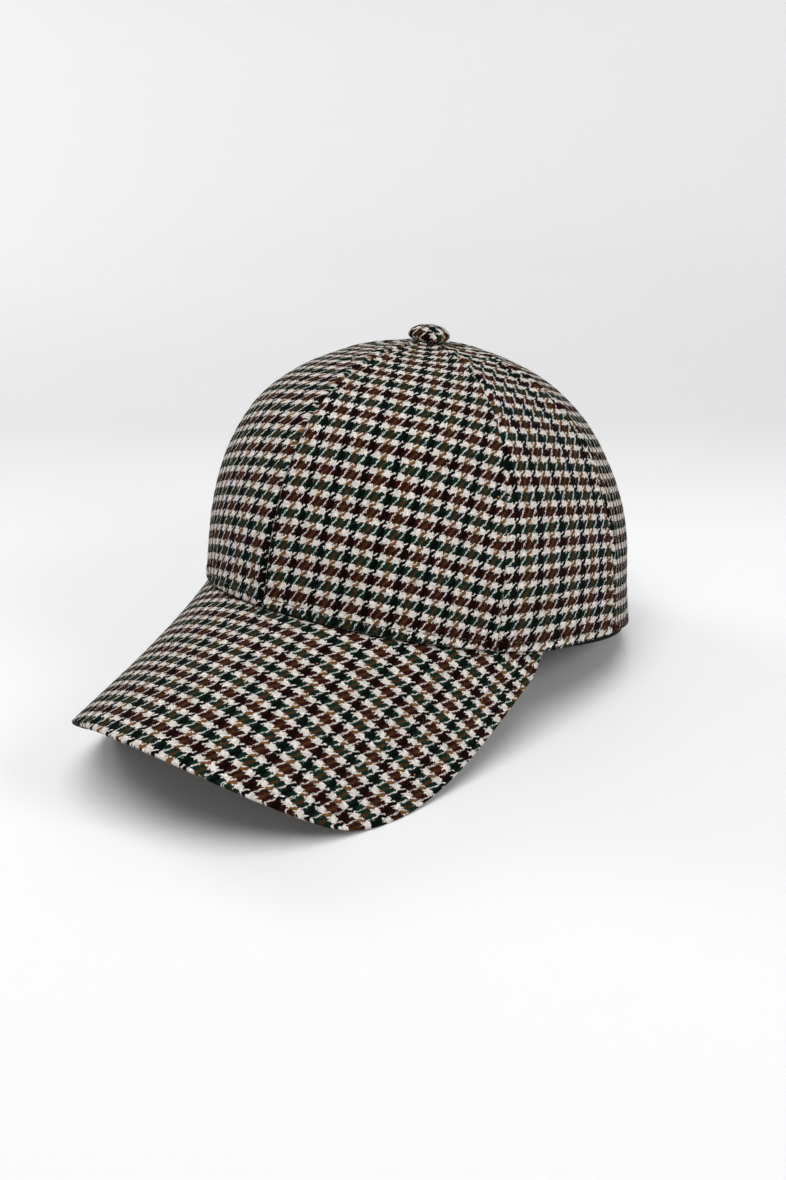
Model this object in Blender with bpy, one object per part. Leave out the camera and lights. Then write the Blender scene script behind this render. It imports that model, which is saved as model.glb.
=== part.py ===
"""Peaked winter cap in woollen check: six panels, covered button, curved peak, sweatband.

The cap is drawn level, in metres: its front looks along -Y, the wearer's left is +X and
the middle of the rim's oval is the origin. An empty then tips it back until it rests on
the sides of its peak and the back of its rim, and centres it over the floor.
"""
import math

import bpy
import numpy as np
from mathutils import Matrix, Vector

# Rim, which turns outwards a little at the back
HALF_WIDTH = 0.0801
FRONT_REACH = 0.1070
BACK_REACH = 0.1041
RIM_ARCH = 0.0032
BACK_FLARE = 0.0045
FLARE_CLIMB = 0.12

# Crown
CROWN_HEIGHT = 0.1100
CROWN_LEAN = 0.0126
BUTTON_LEAN = 0.0155
FRONT_FULLNESS = 2.50
SIDE_FULLNESS = 2.14
BACK_FULLNESS = 2.00
SQUARENESS = 2.58
PANEL_PUFF = 0.04
SHAPED_CLIMB = 0.68
TOP_CLIMB = 0.45
TOP_SLOPE = 0.135
FRONT_SEAM = math.radians(62.8)
BACK_SEAM = math.radians(104.8)
TIP_CLIMB = 0.985

# Cloth walls and the gaps between pieces
CLOTH = 0.0018
SEAM_GAP = 0.0003
LAYER_GAP = 0.0004

# Peak
PEAK_LENGTH = 0.0674
PEAK_HALF_WIDTH = 0.0753
PEAK_HALF_ANGLE = math.radians(79.1)
PEAK_DROP = 0.0418
PEAK_SIDE_DROP = 0.0364
PEAK_ARCH_POWER = 2.33
PEAK_ROUNDNESS = 2.31
PEAK_JOIN = 0.55
PEAK_END = 0.975
PEAK_BOARD = 0.0024
PEAK_LINING = 0.0009
PEAK_TUCK = 0.0010
PEAK_ROLL = 0.0007
LINING_INSET = 0.0030

# Button
BUTTON_RADIUS = 0.0085
BUTTON_HEIGHT = 0.0064
BUTTON_BELLY = 0.0021
BUTTON_TUCK = math.radians(44.0)
BUTTON_TOP = math.radians(75.0)
STEM_RADIUS = 0.0019

# Sweatband
BAND_HEIGHT = 0.0300
BAND_WALL = 0.0012
BAND_SHOWS = 0.0008

# The back of the rim is soft: its own weight presses this much of it flat
REST_PRESS = 0.0010

# How finely the pieces are divided
PANEL_COLUMNS = 12
PANEL_ROWS = 16
PEAK_COLUMNS = 32
PEAK_ROWS = 8
BAND_ROWS = 4
BUTTON_SIDES = 24
BUTTON_RINGS = 8
NORMAL_STEP = 0.004

PANELS = (
    ("panel_front_left", 0.0, FRONT_SEAM),
    ("panel_side_left", FRONT_SEAM, BACK_SEAM),
    ("panel_back_left", BACK_SEAM, math.pi),
    ("panel_back_right", -math.pi, -BACK_SEAM),
    ("panel_side_right", -BACK_SEAM, -FRONT_SEAM),
    ("panel_front_right", -FRONT_SEAM, 0.0),
)

WOOL = (0.215, 0.180, 0.150)
LINING_CLOTH = (0.200, 0.168, 0.140)
BAND_CLOTH = (0.020, 0.018, 0.018)


def rim_rise(angle):
    """Height of the rim, which arches over the forehead between the peak's ends."""
    share = min(abs(angle) / PEAK_HALF_ANGLE, 1.0)
    return RIM_ARCH * (1.0 + math.cos(math.pi * share)) / 2.0


def fullness_at(angle):
    """How squarely the crown's outline turns over at this side of the cap."""
    front = math.cos(angle)
    end = FRONT_FULLNESS if front > 0.0 else BACK_FULLNESS
    return SIDE_FULLNESS + (end - SIDE_FULLNESS) * front * front


def crown_point(angle, climb):
    """Smooth crown: angle runs round from the front, climb from 0 at the rim to 1 on top."""
    side, front = math.sin(angle), math.cos(angle)
    turn = climb * math.pi / 2.0
    fullness = fullness_at(angle)
    out = max(math.cos(turn), 0.0) ** (2.0 / fullness)
    up = max(math.sin(turn), 0.0) ** (2.0 / fullness)
    square = 2.0 + (SQUARENESS - 2.0) * min(climb / SHAPED_CLIMB, 1.0)
    out /= (abs(front) ** square + abs(side) ** square) ** (1.0 / square)
    reach = FRONT_REACH if front > 0.0 else BACK_REACH
    flare = BACK_FLARE * max(-front, 0.0) * max(1.0 - climb / FLARE_CLIMB, 0.0) ** 2
    top = max((climb - TOP_CLIMB) / (1.0 - TOP_CLIMB), 0.0)
    lean = CROWN_LEAN * up + BUTTON_LEAN * top ** 2
    rise = rim_rise(angle)
    height = rise + (CROWN_HEIGHT - rise) * up - TOP_SLOPE * top * front * reach * out
    sideways = side * (HALF_WIDTH * out + flare)
    forwards = front * (reach * out + flare) + lean
    return Vector((sideways, -forwards, height))


def crown_outward(angle, climb):
    """Unit normal of the smooth crown."""
    low = max(climb - NORMAL_STEP, 0.0)
    around = crown_point(angle + NORMAL_STEP, climb) - crown_point(angle - NORMAL_STEP, climb)
    upward = crown_point(angle, climb + NORMAL_STEP) - crown_point(angle, low)
    return around.cross(upward).normalized()


def panel_point(first, last, across, climb, depth):
    """Point of a panel, which puffs out between its seams; no layer hangs below the rim."""
    angle = first + (last - first) * across
    smooth = crown_point(angle, climb)
    chord = crown_point(first, climb).lerp(crown_point(last, climb), across)
    puff = (smooth - chord) * PANEL_PUFF * min(climb / SHAPED_CLIMB, 1.0)
    point = smooth + puff - crown_outward(angle, climb) * depth
    point.z = max(point.z, rim_rise(angle))
    return point


def even_climbs(rows):
    """Climbs from rim to tip that cut the front seam's length into equal steps."""
    fine = np.linspace(0.0, TIP_CLIMB, 400)
    points = [crown_point(FRONT_SEAM, climb) for climb in fine]
    steps = [0.0] + [(b - a).length for a, b in zip(points, points[1:])]
    lengths = np.cumsum(steps)
    return np.interp(np.linspace(0.0, lengths[-1], rows + 1), lengths, fine)


def climb_at_height(angle, height):
    """Climb at which the crown stands this high above the rim's oval."""
    rise = rim_rise(angle)
    up = max(height - rise, 0.0) / (CROWN_HEIGHT - rise)
    return math.asin(min(up, 1.0) ** (fullness_at(angle) / 2.0)) * 2.0 / math.pi


def wall_between(outer, inner, ring):
    """Closed wall between two grids of points; a ring's columns run right round."""
    rows, columns = len(outer), len(outer[0])
    points = [point for row in outer for point in row] + [point for row in inner for point in row]
    shift = rows * columns
    last = columns if ring else columns - 1
    faces = []

    def quad(a, b, c, d):
        faces.append((a, b, c, d))

    for row in range(rows - 1):
        for column in range(last):
            right = (column + 1) % columns
            a, b = row * columns + column, row * columns + right
            c, d = a + columns, b + columns
            quad(a, b, d, c)
            quad(shift + a, shift + c, shift + d, shift + b)
    for column in range(last):
        right = (column + 1) % columns
        quad(right, column, shift + column, shift + right)
        a, b = (rows - 1) * columns + column, (rows - 1) * columns + right
        quad(a, b, shift + b, shift + a)
    if not ring:
        for row in range(rows - 1):
            a, b = row * columns, (row + 1) * columns
            quad(a, b, shift + b, shift + a)
            quad(b + columns - 1, a + columns - 1, shift + a + columns - 1, shift + b + columns - 1)
    return points, faces


def panel(first, last):
    """One gore of the crown, half a seam gap short of each neighbour."""
    outer, inner = [], []
    for climb in even_climbs(PANEL_ROWS):
        width = (crown_point(last, climb) - crown_point(first, climb)).length
        trim = SEAM_GAP / 2.0 / width
        shares = np.linspace(trim, 1.0 - trim, PANEL_COLUMNS + 1)
        outer.append([panel_point(first, last, share, climb, 0.0) for share in shares])
        inner.append([panel_point(first, last, share, climb, CLOTH) for share in shares])
    return wall_between(outer, inner, ring=False)


def band_point(first, last, across, share, depth):
    """Point of the sweatband, from its lower edge to its top, under a panel's inside."""
    angle = first + (last - first) * across
    climb = climb_at_height(angle, rim_rise(angle) + BAND_HEIGHT * share)
    point = panel_point(first, last, across, climb, CLOTH + LAYER_GAP + depth)
    behind = (abs(angle) - PEAK_HALF_ANGLE) / (BACK_SEAM - PEAK_HALF_ANGLE)
    shows = BAND_SHOWS * math.sin(math.pi * min(max(behind, 0.0), 1.0))
    point.z -= shows * (1.0 - share)
    return point


def sweatband():
    """Closed band inside the rim; its edge shows between the peak's ends and the back seams."""
    outer, inner = [], []
    for row in range(BAND_ROWS + 1):
        share = row / BAND_ROWS
        places = [(first, last, column / PANEL_COLUMNS)
                  for _, first, last in PANELS for column in range(PANEL_COLUMNS)]
        outer.append([band_point(*place, share, 0.0) for place in places])
        inner.append([band_point(*place, share, BAND_WALL) for place in places])
    return wall_between(outer, inner, ring=True)


def peak_root(side):
    """Point of the peak's sewn edge, tucked under the rim; side runs from -1 to 1."""
    angle = side * PEAK_HALF_ANGLE
    point = crown_point(angle, 0.0) - crown_outward(angle, 0.0) * PEAK_TUCK
    point.z -= LAYER_GAP
    return point


def peak_edge(side):
    """Point of the peak's free edge, which runs into the rim at both ends."""
    corner = crown_point(PEAK_HALF_ANGLE, 0.0)
    turn = abs(side) * math.pi / 2.0
    power = 2.0 / PEAK_ROUNDNESS
    wide = PEAK_HALF_WIDTH * math.sin(turn) ** power
    reach = (FRONT_REACH + PEAK_LENGTH + corner.y) * max(math.cos(turn), 0.0) ** power
    arch = PEAK_SIDE_DROP * (wide / PEAK_HALF_WIDTH) ** PEAK_ARCH_POWER
    height = RIM_ARCH - PEAK_DROP - arch
    join = max((abs(side) - PEAK_JOIN) / (1.0 - PEAK_JOIN), 0.0) ** 2
    wide += (corner.x - wide) * join
    height += (corner.z - height) * join
    return Vector((math.copysign(wide, side), corner.y - reach, height - LAYER_GAP))


def peak_surface(side, out):
    """Top of the peak, ruled from its sewn edge to its free edge."""
    return peak_root(side).lerp(peak_edge(side), out)


def peak_upward(side, out):
    """Unit normal of the peak's top."""
    across = peak_surface(side + NORMAL_STEP, out) - peak_surface(side - NORMAL_STEP, out)
    forward = peak_edge(side) - peak_root(side)
    return forward.cross(across).normalized()


def peak_layer(depth, thickness, inset, roll):
    """One layer of the peak, below its top by depth; roll rounds its free edge outwards."""
    top, bottom = [], []
    sides = np.linspace(-PEAK_END, PEAK_END, PEAK_COLUMNS + 1)
    for row in range(PEAK_ROWS + 1):
        top_row, bottom_row = [], []
        for side in sides:
            length = (peak_edge(side) - peak_root(side)).length
            out = row / PEAK_ROWS * (1.0 - min(inset / length, 0.5))
            point, upward = peak_surface(side, out), peak_upward(side, out)
            top_row.append(point - upward * depth)
            bottom_row.append(point - upward * (depth + thickness))
        top.append(top_row)
        bottom.append(bottom_row)
    if roll > 0.0:
        edge_top, edge_bottom = [], []
        for side, upper, lower in zip(sides, top[-1], bottom[-1]):
            outward = (peak_edge(side) - peak_root(side)).normalized() * roll
            edge_top.append(upper.lerp(lower, 0.25) + outward)
            edge_bottom.append(upper.lerp(lower, 0.75) + outward)
        top.append(edge_top)
        bottom.append(edge_bottom)
    return wall_between(bottom, top, ring=False)


def button():
    """Covered button over the panels' tips, with the stem that goes through them."""
    slope = Matrix.Rotation(math.atan(TOP_SLOPE), 3, "X")
    base = crown_point(0.0, 1.0) + slope @ Vector((0.0, 0.0, LAYER_GAP))
    foot = -(CLOTH + 2.0 * LAYER_GAP)
    profile = [(STEM_RADIUS, foot), (STEM_RADIUS, 0.0)]
    for turn in np.linspace(-BUTTON_TUCK, BUTTON_TOP, BUTTON_RINGS):
        dome = BUTTON_HEIGHT - BUTTON_BELLY
        half_height = dome if turn > 0.0 else BUTTON_BELLY / math.sin(BUTTON_TUCK)
        height = BUTTON_BELLY + half_height * math.sin(turn)
        profile.append((BUTTON_RADIUS * math.cos(turn), height))
    points = [base + slope @ Vector((0.0, 0.0, foot))]
    for radius, height in profile:
        for step in range(BUTTON_SIDES):
            turn = 2.0 * math.pi * step / BUTTON_SIDES
            offset = Vector((radius * math.cos(turn), radius * math.sin(turn), height))
            points.append(base + slope @ offset)
    points.append(base + slope @ Vector((0.0, 0.0, BUTTON_HEIGHT)))
    faces = []
    for step in range(BUTTON_SIDES):
        right = (step + 1) % BUTTON_SIDES
        faces.append((0, 1 + right, 1 + step))
        for ring in range(len(profile) - 1):
            a, b = 1 + ring * BUTTON_SIDES + step, 1 + ring * BUTTON_SIDES + right
            faces.append((a, b, b + BUTTON_SIDES, a + BUTTON_SIDES))
        top = 1 + (len(profile) - 1) * BUTTON_SIDES
        faces.append((top + step, top + right, len(points) - 1))
    return points, faces


def lowest(turn, pieces, names):
    """Lowest height that the named pieces reach once the cap is turned."""
    return min((turn @ point).z for name in names for point in pieces[name][0])


def rest_matrix(pieces):
    """Tips the cap back until the peak's sides and the pressed rim lie on one floor."""
    soft = [name for name in pieces if name.startswith("panel") or name == "sweatband"]
    stiff = [name for name in pieces if name.startswith("peak")]
    level, steep = 0.0, math.radians(45.0)
    for _ in range(30):
        tip = (level + steep) / 2.0
        turn = Matrix.Rotation(-tip, 4, "X")
        if lowest(turn, pieces, soft) + REST_PRESS > lowest(turn, pieces, stiff):
            level = tip
        else:
            steep = tip
    floor = lowest(turn, pieces, stiff)
    placed = [turn @ point for points, _ in pieces.values() for point in points]
    middle_x = (min(p.x for p in placed) + max(p.x for p in placed)) / 2.0
    middle_y = (min(p.y for p in placed) + max(p.y for p in placed)) / 2.0
    return Matrix.Translation((-middle_x, -middle_y, -floor)) @ turn


def pressed(point, rest):
    """Point of the drawn cap, moved up where it would lie under the floor at rest."""
    placed = rest @ point
    placed.z = max(placed.z, 0.0)
    return rest.inverted() @ placed


def cloth_material(name, colour, roughness):
    """Plain woven finish in the piece's mean colour."""
    material = bpy.data.materials.new(name)
    material.use_nodes = True
    finish = material.node_tree.nodes["Principled BSDF"]
    finish.inputs["Base Color"].default_value = (*colour, 1.0)
    finish.inputs["Roughness"].default_value = roughness
    finish.inputs["Metallic"].default_value = 0.0
    return material


def add_piece(name, points, faces, parent, colour):
    """Mesh object for one piece, smooth over its curves and sharp at its cut edges."""
    mesh = bpy.data.meshes.new(name)
    mesh.from_pydata([tuple(point) for point in points], [], faces)
    mesh.shade_smooth()
    mesh.set_sharp_from_angle(angle=math.radians(50.0))
    mesh.materials.append(cloth_material(name, colour, 0.95))
    piece = bpy.data.objects.new(name, mesh)
    bpy.context.scene.collection.objects.link(piece)
    piece.parent = parent
    return piece


def main():
    for old in list(bpy.data.objects):
        bpy.data.objects.remove(old)
    pieces = {name: panel(first, last) for name, first, last in PANELS}
    pieces["sweatband"] = sweatband()
    pieces["peak_top"] = peak_layer(0.0, PEAK_BOARD, 0.0, PEAK_ROLL)
    pieces["peak_under"] = peak_layer(PEAK_BOARD + LAYER_GAP, PEAK_LINING, LINING_INSET, 0.0)
    pieces["button"] = button()
    rest = rest_matrix(pieces)
    cap = bpy.data.objects.new("cap_at_rest", None)
    bpy.context.scene.collection.objects.link(cap)
    cap.matrix_world = rest
    colours = {"sweatband": BAND_CLOTH, "peak_under": LINING_CLOTH}
    for name, (points, faces) in pieces.items():
        placed = [pressed(point, rest) for point in points]
        add_piece(name, placed, faces, cap, colours.get(name, WOOL))


main()
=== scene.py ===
"""Peaked winter cap in woollen gun-club check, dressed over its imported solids.

Six panels of checked twill with pressed seams and twin rows of topstitching, a covered
button, a curved peak, a dark sweatband and the short hairs of the wool. The cap is drawn
level, its front along -Y and the middle of its rim's oval at the origin, and is then
tipped back until it rests on its peak and the back of its rim.
"""
import math
from typing import NamedTuple

import bmesh
import bpy
import numpy as np
from bpy.props import FloatProperty, FloatVectorProperty, IntProperty, PointerProperty
from mathutils import Matrix, Vector, noise


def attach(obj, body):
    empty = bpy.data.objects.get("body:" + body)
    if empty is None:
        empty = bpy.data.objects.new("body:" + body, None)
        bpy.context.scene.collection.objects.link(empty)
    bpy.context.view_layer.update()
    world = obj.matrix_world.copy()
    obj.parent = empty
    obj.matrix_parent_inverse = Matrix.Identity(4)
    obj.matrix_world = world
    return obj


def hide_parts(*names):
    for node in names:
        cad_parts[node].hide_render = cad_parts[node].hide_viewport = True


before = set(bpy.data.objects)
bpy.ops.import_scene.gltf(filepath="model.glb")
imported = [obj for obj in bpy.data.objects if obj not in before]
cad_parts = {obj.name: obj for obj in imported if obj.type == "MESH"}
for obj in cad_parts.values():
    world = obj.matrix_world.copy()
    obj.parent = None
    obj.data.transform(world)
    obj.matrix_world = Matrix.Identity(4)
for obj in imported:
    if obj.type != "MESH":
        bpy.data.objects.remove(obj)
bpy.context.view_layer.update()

bl_info = {
    "name": "Checked wool cap",
    "version": (1, 0, 0),
    "blender": (4, 5, 0),
    "location": "View3D > Sidebar > Cap",
    "description": "Makes a six-panel peaked cap in woollen gun-club check",
    "category": "Add Mesh",
}

# Rim and crown of the level cap, in metres
HALF_WIDTH = 0.0801
FRONT_REACH = 0.1070
BACK_REACH = 0.1041
RIM_ARCH = 0.0032
SIDE_ARCH = 0.0038
SIDE_ARCH_END = math.radians(140.0)
BACK_FLARE = 0.0060
FLARE_CLIMB = 0.15
CROWN_HEIGHT = 0.1100
CROWN_LEAN = 0.0126
BUTTON_LEAN = 0.0155
FRONT_FULLNESS = 2.50
SIDE_FULLNESS = 2.14
BACK_FULLNESS = 2.00
SQUARENESS = 2.58
PANEL_PUFF = 0.04
SHAPED_CLIMB = 0.68
TOP_CLIMB = 0.45
TOP_SLOPE = 0.135
FRONT_SEAM = math.radians(62.8)
BACK_SEAM = math.radians(104.8)
TIP_CLIMB = 0.985
CLOTH = 0.0018
LAYER_GAP = 0.0004

# Peak, whose lining is the cloth on its underside
PEAK_LENGTH = 0.0674
PEAK_HALF_WIDTH = 0.0753
PEAK_HALF_ANGLE = math.radians(79.1)
PEAK_DROP = 0.0418
PEAK_SIDE_DROP = 0.0364
PEAK_ARCH_POWER = 2.33
PEAK_ROUNDNESS = 2.31
PEAK_JOIN = 0.55
PEAK_END = 0.975
PEAK_TUCK = 0.0016
PEAK_BOARD = 0.0024
PEAK_ROLL = 0.0012
PEAK_WAVE = 0.024
PEAK_SOFTNESS = 0.00025
PEAK_CUTS = (-0.03, 0.20, 116)
LINING = 0.0009
LINING_NAP = 0.0003
LINING_GAP = 0.0001
LINING_INSET = 0.0014
LINING_ROLL = 0.0005

# Button, sweatband and rest
BUTTON_RADIUS = 0.0085
BUTTON_HEIGHT = 0.0064
BUTTON_BELLY = 0.0021
BUTTON_TUCK = math.radians(44.0)
BUTTON_INSET = 0.25
BUTTON_TAPER = 0.5
BUTTON_STEM = 0.0022
BUTTON_STRETCH = 0.92
BUTTON_GATHERS = 17.0
GATHER_DEPTH = 0.035
BAND_HEIGHT = 0.0300
BAND_WALL = 0.0012
BAND_EDGE = 0.8
BAND_SWELL = 0.35
BAND_SHOWS = 0.0031
REST_TILT = math.radians(16.76179)
REST_SHIFT = (0.0, 0.037388, 0.030319)

# Relief of the cloth: pairs say where a rise or a fall starts and ends, counted from the
# stitches where the name says ENDS
SEAM_RISE = (0.0004, 0.0017)
RISE_ENDS = (-0.0002, 0.0018)
GROOVE_WIDTH = 0.00065
STITCH_WIDTH = 0.00055
NARROWING = 0.6
HEM_RAISE = 0.0003
HEM_RAISE_ENDS = (0.0001, 0.0016)
HEM_STITCH_WIDTH = 0.0005
HEM_STITCH_DIP = 0.8
TURNED_IN = 0.0009
TURNED_IN_OVER = (0.0058, 0.0066)
TURNED_IN_FROM = (0.031, 0.033)
LONG_WAVE = 0.021
SHORT_WAVE = 0.0085
SHORT_WAVE_SHARE = 0.35
PUCKER_WAVE = 0.0030
PUCKER_HEIGHT = 0.00016
PUCKER_WIDTH = 0.0022
CALM_HEM = 0.010
# Painted shade: near the hem the check is shifted up the cloth, less so higher up, so that a dark row lies
# on the rolled edge. The row is the check's own yarn, moved there to stand in for the shade of the crease
# along the rim
HEM_SHADE_SHIFT = 0.0018
HEM_SHADE_SHIFT_FADES = 0.006

# How finely the cloth is divided; the steps are millimetres from a seam and from the hem
MILLIMETRE = 0.001
SEAM_STEPS = (0.0, 0.3, 0.6, 1.0, 1.5, 2.2, 3.2, 4.2, 4.8, 5.2, 5.5, 5.8, 6.2, 7.0, 8.2, 10.0)
STITCHED_STEP = 5.5
SEAM_SHARE = 0.8
HEM_STEPS = (1.5, 2.2, 2.9, 3.4, 3.8, 4.2, 4.6, 5.2, 6.2, 7.6, 9.5)
LEVEL_ROWS_END = (0.014, 0.045)
PANEL_ROWS = 76
PANEL_MIDDLE = 26
ROLL_ROWS = 7
PEAK_COLUMNS = 144
PEAK_ROWS = 40
BAND_COLUMNS = 360
BAND_ROWS = 17
NORMAL_STEP = 0.004

# Thread: how deep it lies, and how it bows up from the cloth and down at its ends
THREAD_SUNK = 0.75
THREAD_LIFT = 0.0001
THREAD_RISE = 0.00012
THREAD_BOW = 0.00034

# Hairs: share of them on two pieces, and how they lean, bend and differ in length
HAIR_SEED = 41
HAIR_SHARES = {"cloth_peak_top": 0.17, "covered_button": 0.006}
HAIR_LEANS = (0.08, 0.55)
HAIR_BEND = 0.5
HAIR_LENGTHS = (0.4, 1.7)
HAIR_CUTS = (0.33, 0.66)
HEAD_MIDDLE = (0.0, 0.035, 0.045)
OUTWARD = 0.15

# Stage: lights by azimuth and elevation in degrees, distance and size; tones from near to far, which paint
# shade on the floor: darker near the camera to even out the key light there, darker from a line behind the
# cap to stand in for a shaded backdrop, and lighter again further back where less light reaches
LIGHTS = (
    ("key", 29.0, 67.0, 2.2, 1.6),
    ("left", -85.0, 32.0, 1.8, 0.7),
    ("right", 88.0, 34.0, 1.8, 0.7),
)
STAGE_RADIUS = 2.2
STAGE_RING = 0.9
STAGE_WALL = 0.9
STAGE_ROUNDING = 0.5
STAGE_DROP = 0.0001
FLOOR_PAINTED_SHADE = ((0.0, 0.81), (0.15, 0.96), (0.28, 1.0))
BACKDROP_PAINTED_SHADE = ((0.365, 0.76), (0.43, 0.80), (0.54, 0.90), (0.80, 1.0))

# The check: sixteen threads in four bands of four, in a twill that repeats every four. A band
# whose number, from 0, is above LAST_BAND is the fourth
THREADS = 16.0
BAND = 4.0
BANDS = 4.0
TWILL = 4.0
LAST_BAND = 2.5


class Lay(NamedTuple):
    """How the check's columns or its rows lie on one piece: repeats, with lengths in decimetres."""

    start: float
    across: float
    up: float
    bow_across: float = 0.0
    twist: float = 0.0
    bow_up: float = 0.0


# How the cutter laid each piece on the cloth: first the check's columns, then its rows
PLAIN_CHECK = (Lay(0.0, 9.6, 0.0), Lay(0.81, 0.0, 8.2))
FRONT_LEFT_CHECK = (Lay(0.87, 9.80, -1.22, -0.22, -0.41, 0.54), Lay(0.64, 0.24, 8.25, 1.17, -0.17, -0.08))
SIDE_LEFT_CHECK = (Lay(0.94, 6.64, -0.63, -0.91, 0.77, 0.34), Lay(0.72, -0.54, 8.16, 0.79, 0.35, 0.18))
FRONT_RIGHT_CHECK = (Lay(1.04, 9.79, 0.0), Lay(0.65, -1.33, 8.71, 1.84, -1.12, -0.15))
PEAK_CHECK = (Lay(0.81, 9.45, 0.78, -0.90, 0.45, -0.28), Lay(0.62, -0.24, 7.31, -1.24, -0.46, 0.97))
BUTTON_CHECK = (0.86, 0.30)
PANELS = (
    # name, first angle, last angle, check
    ("front_left", 0.0, FRONT_SEAM, FRONT_LEFT_CHECK),
    ("side_left", FRONT_SEAM, BACK_SEAM, SIDE_LEFT_CHECK),
    ("back_left", BACK_SEAM, math.pi, PLAIN_CHECK),
    ("back_right", -math.pi, -BACK_SEAM, PLAIN_CHECK),
    ("side_right", -BACK_SEAM, -FRONT_SEAM, PLAIN_CHECK),
    ("front_right", -FRONT_SEAM, 0.0, FRONT_RIGHT_CHECK),
)
DECIMETRES = 10.0
UV_NAME = "Cloth"


def metres(name, default, description):
    """Setting for a length."""
    return FloatProperty(name=name, default=default, unit="LENGTH", description=description)


def degrees(name, default, description):
    """Setting for an angle."""
    turn = math.radians(default)
    return FloatProperty(name=name, default=turn, subtype="ANGLE", description=description)


def watts(name, default, description):
    """Setting for a light's power."""
    return FloatProperty(name=name, default=default, unit="POWER", description=description)


def hue(name, default, description):
    """Setting for a colour."""
    return FloatVectorProperty(
        name=name, default=default, subtype="COLOR", size=3, description=description)


class CapSizes(bpy.types.PropertyGroup):
    """Sizes of the sewing and of the wool's surface."""

    seam_raise: metres("Seam raise", 0.00055, "How far the turned-in cloth lifts the panel beside a seam")
    seam_dip: metres("Seam dip", 0.0007, "Depth of the groove along a seam")
    stitch_inset: metres("Stitch inset", 0.0055, "Distance from a seam to its topstitching")
    hem_stitch: metres("Hem stitch", 0.0040, "Height of the topstitching above the rim's edge")
    stitch_dip: metres("Stitch dip", 0.00045, "How far the thread pulls the cloth in")
    stitch_length: metres("Stitch length", 0.0026, "Length of thread that shows in one stitch")
    stitch_gap: metres("Stitch gap", 0.0006, "Cloth between two stitches")
    thread_radius: metres("Thread radius", 0.00022, "Radius of the sewing thread")
    softness: metres("Softness", 0.00035, "Height of the slow waves in the cloth")
    hairs: IntProperty(name="Hairs", default=9000, min=0, description="Number of loose wool hairs")
    hair_length: metres("Hair length", 0.0021, "Mean length of a wool hair")
    hair_radius: metres("Hair radius", 0.000022, "Radius of a wool hair at its root")


class CapColours(bpy.types.PropertyGroup):
    """Yarns of the check, the thread and the band."""

    repeat: metres("Check repeat", 0.0115, "Length of one full repeat of the check on the button")
    white: hue("White yarn", (0.655, 0.615, 0.57), "Off-white ground of the check")
    black: hue("Black yarn", (0.0024, 0.0020, 0.0022), "Dark columns of the check")
    tan: hue("Tan yarn", (0.120, 0.055, 0.017), "Light brown columns of the check")
    maroon: hue("Maroon yarn", (0.0250, 0.0045, 0.0040), "Red-brown rows of the check")
    green: hue("Green yarn", (0.0036, 0.0180, 0.0120), "Bottle green rows of the check")
    thread: hue("Sewing thread", (0.024, 0.021, 0.012), "Olive brown topstitching")
    band: hue("Sweatband", (0.0050, 0.0048, 0.0046), "Dark woven band inside the rim")


class StageSettings(bpy.types.PropertyGroup):
    """Camera, floor and lights."""

    azimuth: degrees("Camera azimuth", 37.70, "Turn of the camera round the cap, from straight in front")
    elevation: degrees("Camera elevation", 24.07, "Height of the camera above the horizon")
    roll: degrees("Camera roll", -0.52, "Turn of the camera about its own axis")
    distance: metres("Camera distance", 0.7010, "From the camera to the point that it looks at")
    target: FloatVectorProperty(
        name="Camera target", subtype="XYZ", size=3, default=(-0.00985, 0.02991, 0.03489),
        description="Point in the middle of the picture")
    lens: FloatProperty(
        name="Lens", default=49.56, unit="CAMERA",
        description="Focal length on a picture 36 mm high")
    floor: hue("Floor", (0.77, 0.77, 0.775), "Pale floor that the cap rests on")
    backdrop: hue("Backdrop", (0.875, 0.875, 0.885), "Pale ground behind the cap")
    sky: FloatProperty(
        name="Soft light", default=0.27, description="Strength of the even light from all round")
    key: watts("Key light", 42.0, "Power of the large light above the camera")
    left: watts("Left light", 7.6, "Power of the light at the left of the picture")
    right: watts("Right light", 9.6, "Power of the light at the right of the picture")


def smooth_step(value, low, high):
    """0 below low, 1 above high, and a smooth rise between."""
    share = np.clip((value - low) / (high - low), 0.0, 1.0)
    return share * share * (3.0 - 2.0 * share)


def unit(vectors):
    """Vectors at length one."""
    return vectors / np.maximum(np.linalg.norm(vectors, axis=-1, keepdims=True), 1e-12)


def side_rise(angle):
    """Height of the rim's low arch over the ear, behind each end of the peak."""
    behind = (np.abs(angle) - PEAK_HALF_ANGLE) / (SIDE_ARCH_END - PEAK_HALF_ANGLE)
    return SIDE_ARCH * np.sin(math.pi * np.clip(behind, 0.0, 1.0))


def rim_rise(angle):
    """Height of the rim, which arches over the forehead between the peak's ends and over each ear."""
    share = np.minimum(np.abs(angle) / PEAK_HALF_ANGLE, 1.0)
    return RIM_ARCH * (1.0 + np.cos(math.pi * share)) / 2.0 + side_rise(angle)


def fullness_at(angle):
    """How squarely the crown's outline turns over at this side of the cap."""
    front = np.cos(angle)
    end = np.where(front > 0.0, FRONT_FULLNESS, BACK_FULLNESS)
    return SIDE_FULLNESS + (end - SIDE_FULLNESS) * front * front


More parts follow.
